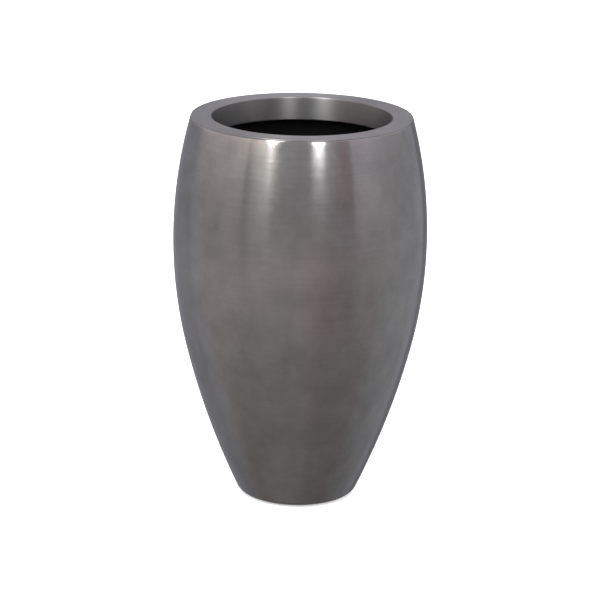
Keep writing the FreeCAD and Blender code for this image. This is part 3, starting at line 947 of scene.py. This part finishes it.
bail = {
    "height": 0.6073,
    "hinge": -0.009,
    "wire": 0.0025,
    "bow": 0.142,
    "bend": 0.006,
    "reach": 0.1532,
    "head": 0.004,
    "headThick": 0.002,
    "headEdge": 0.0004,
    "gripRadius": 0.007,
    "gripAngle": 46.0,
    "gripRings": 92,
    "gripRidges": 9,
    "ridgeDepth": 0.0005,
    "gripEdge": 0.0015,
    "wireSides": 20,
    "bendSteps": 10,
    "bowSteps": 120,
    "gripSides": 28,
    "boreSteps": 24,
}


def makeBailWire():
    b = bail
    end = b["reach"] + b["headThick"]
    headInner = b["head"] - b["headEdge"]
    upright = (0, math.pi / 2, 0)
    deselectAll()
    bpy.ops.mesh.primitive_circle_add(vertices=b["wireSides"], radius=headInner, fill_type="NGON",
                                      location=(-end, b["hinge"], b["height"]), rotation=upright)
    wire = bpy.context.object
    wire.name = "frontBailWire"
    placeInMesh(wire)
    editAll(wire)
    place = -end

    def along(distance, ratio):
        # the end ring goes on by a distance and widens by a ratio
        nonlocal place
        pull((distance, 0, 0))
        place += distance
        if ratio != 1:
            widen(ratio, (place, b["hinge"], b["height"]))

    side = math.sqrt((b["bow"] + b["bend"]) ** 2 - (b["hinge"] - b["bend"]) ** 2)
    lean = math.asin((b["bend"] - b["hinge"]) / (b["bow"] + b["bend"]))
    bendSweep = math.pi / 2 - lean
    along(b["headEdge"], b["head"] / headInner)
    along(b["headThick"] - 2 * b["headEdge"], 1)
    along(b["headEdge"], headInner / b["head"])
    along(0, b["wire"] / headInner)
    along(b["reach"] - side, 1)
    sweep(-bendSweep, (-side, b["hinge"] - b["bend"], b["height"]), b["bendSteps"])
    sweep(math.pi - 2 * lean, (0, 0, b["height"]), b["bowSteps"])
    sweep(-bendSweep, (side, b["hinge"] - b["bend"], b["height"]), b["bendSteps"])
    place = side
    along(b["reach"] - side, 1)
    along(0, headInner / b["wire"])
    along(b["headEdge"], b["head"] / headInner)
    along(b["headThick"] - 2 * b["headEdge"], 1)
    along(b["headEdge"], headInner / b["head"])
    tidyMesh(wire, 40)
    giveMaterial(wire, zincWire)
    return wire


def makeBailGrip():
    b = bail
    start = math.radians(270 - b["gripAngle"] / 2)
    step = math.radians(b["gripAngle"]) / b["gripRings"]

    def ringSize(i):
        # finger ridges along the grip, and rounded ends
        fromEnd = min(i, b["gripRings"] - i) * step * b["bow"]
        share = min(fromEnd / b["gripEdge"], 1)
        rounding = b["gripEdge"] * (1 - math.sqrt(1 - (1 - share) ** 2))
        wave = 0.5 - 0.5 * math.cos(turn * b["gripRidges"] * i / b["gripRings"])
        return b["gripRadius"] - rounding - b["ridgeDepth"] * wave * share

    def ringCentre(i):
        angle = start + step * i
        return (b["bow"] * math.cos(angle), b["bow"] * math.sin(angle), b["height"])

    deselectAll()
    bpy.ops.mesh.primitive_circle_add(vertices=b["gripSides"], radius=b["wire"], location=ringCentre(0),
                                      rotation=(math.pi / 2, 0, start))
    grip = bpy.context.object
    grip.name = "frontBailGrip"
    placeInMesh(grip)
    editAll(grip)
    # out over the end, along the outside, and back through the bore
    pull((0, 0, 0))
    widen(ringSize(0) / b["wire"], ringCentre(0))
    for i in range(b["gripRings"]):
        sweep(step, (0, 0, b["height"]), 1)
        widen(ringSize(i + 1) / ringSize(i), ringCentre(i + 1))
    pull((0, 0, 0))
    widen(b["wire"] / ringSize(b["gripRings"]), ringCentre(b["gripRings"]))
    sweep(-step * b["gripRings"], (0, 0, b["height"]), b["boreSteps"])
    tidyMesh(grip, 50)
    giveMaterial(grip, gripPlastic)
    return grip


bailWire = makeBailWire()
bailGrip = makeBailGrip()
rearWire = copied(bailWire, "rearBailWire", math.pi)
rearGrip = copied(bailGrip, "rearBailGrip", math.pi)
belongs(bailWire, "front_bail", "bail_wire", "front_bail_wire")
belongs(bailGrip, "front_bail", "grip_plastic", "front_bail_grip")
belongs(rearWire, "rear_bail", "bail_wire", "rear_bail_wire")
belongs(rearGrip, "rear_bail", "grip_plastic", "rear_bail_grip")
print("bails are ready")


# Studio: a white room that the steel sees as a darker one, and two round soft lights

studio = {
    "floorRadius": 14.0,
    "floorSides": 96,
    "floorColour": (0.93, 0.93, 0.93),
    "floorRoughness": 0.9,
    "floorShine": 0.1,
    "floorGlow": 0.35,          # a little of its own light, so the planter's contact shadow stays faint
    "white": 1.0,               # what the camera sees behind the planter
    "fill": 1.7,                # what lights the dull finishes
    # what the steel reflects, by height above the level in degrees
    "heights": ((-90, 0.22), (-66, 0.25), (-45, 0.270), (-32, 0.345), (-17, 0.415), (-3, 0.38),
                (10, 0.43), (18, 0.50), (35, 0.57), (90, 0.62)),
    # and by direction round the planter, 0 towards the camera, + to its right
    "round": (
        (-180, (1.12, 1.12, 1.17)),
        (-160, (1.10, 1.10, 1.15)),
        (-130, (1.20, 1.20, 1.24)),
        (-85, (1.0, 0.99, 0.98)),
        (80, (1.04, 1.03, 1.04)),
        (112, (1.15, 1.15, 1.18)),
        (140, (1.35, 1.36, 1.43)),
        (162, (1.25, 1.26, 1.34)),
        (180, (1.12, 1.12, 1.17)),
    ),
}

# Walls and cards of the room: where each is, in degrees, how soft it is on the left, on the right
# and in height, and what it does to the light
cards = {
    "leftWall": {"round": (-112, -54), "height": (-2, 120), "soft": (40, 5, 22),
                 "tint": (1.60, 1.50, 1.46)},
    "highFarLeft": {"round": (-164, -100), "height": (9, 120), "soft": (30, 24, 12),
                    "tint": (1.42, 1.39, 1.37)},
    "highLeft": {"round": (-78, -26), "height": (13, 120), "soft": (26, 5, 9),
                 "tint": (1.34, 1.31, 1.28)},
    "leftGlow": {"round": (-46, -28.5), "height": (-3, 120), "soft": (16, 6, 20),
                 "tint": (1.58, 1.56, 1.52)},
    "leftHalo": {"round": (-54, -22.5), "height": (9, 120), "soft": (14, 6, 12),
                 "tint": (1.50, 1.46, 1.40)},
    "darkGap": {"round": (-56, -50), "height": (-22, 11), "soft": (4, 4, 8),
                "tint": (0.92, 0.91, 0.90)},
    "highLeftShade": {"round": (-190, -15), "height": (32, 120), "soft": (30, 20, 20),
                      "tint": (0.58, 0.58, 0.60)},
    "middle": {"round": (-8, 10), "height": (-14, 120), "soft": (14, 8, 20),
               "tint": (0.93, 0.93, 0.95)},
    "rightGlow": {"round": (9.5, 29.5), "height": (9, 120), "soft": (6, 20, 9),
                  "tint": (1.62, 1.58, 1.62)},
    "brownCard": {"round": (38, 49.5), "height": (-6, 60), "soft": (6, 2.5, 14),
                  "tint": (0.97, 0.84, 0.85)},
    "rightWall": {"round": (50, 88), "height": (-4, 120), "soft": (3, 34, 22),
                  "tint": (1.40, 1.34, 1.37)},
    "highFarRight": {"round": (116, 178), "height": (8, 120), "soft": (30, 20, 12),
                     "tint": (1.26, 1.22, 1.20)},
    "rightShade": {"round": (6, 54), "height": (-34, 7), "soft": (18, 14, 14),
                   "tint": (0.90, 0.85, 0.87)},
    "roseRight": {"round": (28, 96), "height": (4, 120), "soft": (20, 20, 10),
                  "tint": (1.0, 0.975, 1.0)},
    "leftBelly": {"round": (-85, 2), "height": (-29, -12), "soft": (20, 20, 12),
                  "tint": (1.09, 1.08, 1.08)},
    "frontBelly": {"round": (-42, 2), "height": (-23, -12), "soft": (16, 14, 8),
                   "tint": (1.10, 1.09, 1.08)},
    "leftBand": {"round": (-126, -70), "height": (-19, -8), "soft": (16, 16, 7),
                 "tint": (0.89, 0.90, 0.92)},
    "frontBand": {"round": (-27, 2), "height": (-14, -6), "soft": (14, 10, 7),
                  "tint": (0.86, 0.86, 0.89)},
    "sideLeft": {"round": (-112, -66), "height": (-46, -14), "soft": (24, 30, 16),
                 "tint": (1.12, 1.11, 1.13)},
    "farLeft": {"round": (-200, -118), "height": (-120, 6), "soft": (24, 10, 26),
                "tint": (0.86, 0.86, 0.86)},
    "farRight": {"round": (118, 200), "height": (-120, 2), "soft": (24, 10, 20),
                 "tint": (0.92, 0.91, 0.90)},
    "rightStrip": {"round": (147, 166), "height": (-70, 60), "soft": (8, 5, 10),
                   "tint": (0.58, 0.59, 0.62)},
    "underLeft": {"round": (-200, -80), "height": (-120, -50), "soft": (30, 10, 16),
                  "tint": (0.86, 0.82, 0.76)},
    "underRight": {"round": (64, 200), "height": (-120, -50), "soft": (36, 10, 20),
                   "tint": (0.84, 0.82, 0.79)},
    "warmFloor": {"round": (-100, 26), "height": (-120, -4), "soft": (24, 24, 16),
                  "tint": (1.08, 1.02, 0.96)},
    "lowRight": {"round": (18, 80), "height": (-120, -14), "soft": (24, 24, 24),
                 "tint": (0.93, 0.86, 0.85)},
}


def buildWorld():
    world = bpy.data.worlds.new("studioWorld")
    bpy.context.scene.world = world
    world.use_nodes = True
    world.node_tree.nodes.clear()
    nodes = Nodes(world.node_tree)
    direction = nodes.add("ShaderNodeTexCoord").outputs["Generated"]
    part = nodes.add("ShaderNodeSeparateXYZ", {0: direction}).outputs
    toFront = nodes.math("MULTIPLY", part[1], -1)
    height = nodes.math("DEGREES", nodes.math("ARCSINE", part[2]))
    around = nodes.math("DEGREES", nodes.math("ARCTAN2", part[0], toFront))
    heightStops = [((angle + 90) / 180, (level,) * 3) for angle, level in studio["heights"]]
    roundStops = [((angle + 180) / 360, colour) for angle, colour in studio["round"]]
    seen = nodes.ramp(nodes.scaled(height, -90, 90, 0, 1), heightStops)
    tint = nodes.ramp(nodes.scaled(around, -180, 180, 0, 1), roundStops)
    seen = nodes.mixed(1.0, seen, tint, blend="MULTIPLY")
    for card in cards.values():
        sideways = nodes.window(around, *card["round"], *card["soft"][:2])
        upDown = nodes.window(height, *card["height"], card["soft"][2], card["soft"][2])
        share = nodes.math("MULTIPLY", sideways, upDown)
        seen = nodes.mixed(share, seen, nodes.mixed(1.0, seen, (*card["tint"], 1), blend="MULTIPLY"))

    def background(colour, strength):
        return nodes.add("ShaderNodeBackground", {"Color": colour, "Strength": strength}).outputs[0]

    # the camera sees white, the steel sees the darker room, and all else gets plain light
    path = nodes.add("ShaderNodeLightPath").outputs
    plain = background((1, 1, 1, 1), studio["fill"])
    white = background((1, 1, 1, 1), studio["white"])
    dark = background(seen, 1.0)
    glossy = nodes.add("ShaderNodeMixShader", {0: path["Is Glossy Ray"], 1: plain, 2: dark}).outputs[0]
    result = nodes.add("ShaderNodeMixShader", {0: path["Is Camera Ray"], 1: glossy, 2: white}).outputs[0]
    nodes.add("ShaderNodeOutputWorld", {"Surface": result})


def buildFloor():
    deselectAll()
    bpy.ops.mesh.primitive_circle_add(vertices=studio["floorSides"], radius=studio["floorRadius"],
                                      fill_type="NGON")
    floor = bpy.context.object
    floor.name = "studioFloor"
    material, nodes, shader = newMaterial("white_floor", studio["floorColour"])
    shader.inputs["Base Color"].default_value = (*studio["floorColour"], 1)
    shader.inputs["Roughness"].default_value = studio["floorRoughness"]
    shader.inputs["Specular IOR Level"].default_value = studio["floorShine"]
    shader.inputs["Emission Color"].default_value = (1, 1, 1, 1)
    shader.inputs["Emission Strength"].default_value = studio["floorGlow"]
    giveMaterial(floor, material)
    floor.visible_glossy = False


# Each light's direction and half size in degrees, as seen from the point that they aim at

softLights = {
    "left": {"round": -29.7, "height": 37.5, "halfWidth": 7.2, "halfHeight": 20.0, "radiance": 8.0},
    "right": {"round": 17.3, "height": 26.5, "halfWidth": 6.2, "halfHeight": 10.5, "radiance": 7.8},
}
lightDistance = 4.0
lightAim = Vector((0, 0, 0.66))


def addSoftLight(name, light):
    across = math.radians(light["round"])
    lift = math.radians(light["height"])
    level = math.cos(lift)
    towards = Vector((math.sin(across) * level, -math.cos(across) * level, math.sin(lift)))
    bpy.ops.object.light_add(type="AREA", location=lightAim + towards * lightDistance)
    lamp = bpy.context.object
    lamp.name = name + "SoftLight"
    lamp.rotation_euler = towards.to_track_quat("Z", "Y").to_euler()
    lamp.data.shape = "ELLIPSE"
    lamp.data.size = 2 * lightDistance * math.tan(math.radians(light["halfWidth"]))
    lamp.data.size_y = 2 * lightDistance * math.tan(math.radians(light["halfHeight"]))
    area = math.pi * lamp.data.size * lamp.data.size_y / 4
    lamp.data.energy = light["radiance"] * math.pi * area
    lamp.visible_camera = False


view = {
    "place": (0.0, -4.368, 1.656),
    "lens": 151.5,
    "swing": -0.019,
    "tilt": 73.472,
    "roll": 0.895,
    "filmWidth": 36,
    "farthest": 60,
}


def addCamera():
    bpy.ops.object.camera_add()
    camera = bpy.context.object
    camera.name = "photoCamera"
    swing = Matrix.Rotation(math.radians(view["swing"]), 4, "Z")
    tilt = Matrix.Rotation(math.radians(view["tilt"]), 4, "X")
    roll = Matrix.Rotation(math.radians(view["roll"]), 4, "Z")
    camera.matrix_world = Matrix.Translation(view["place"]) @ swing @ tilt @ roll
    camera.data.lens = view["lens"]
    camera.data.sensor_width = view["filmWidth"]
    camera.data.clip_end = view["farthest"]
    bpy.context.scene.camera = camera


buildWorld()
buildFloor()
for side, light in softLights.items():
    addSoftLight(side, light)
addCamera()
bpy.context.scene.view_settings.view_transform = "Standard"
print("studio is ready")
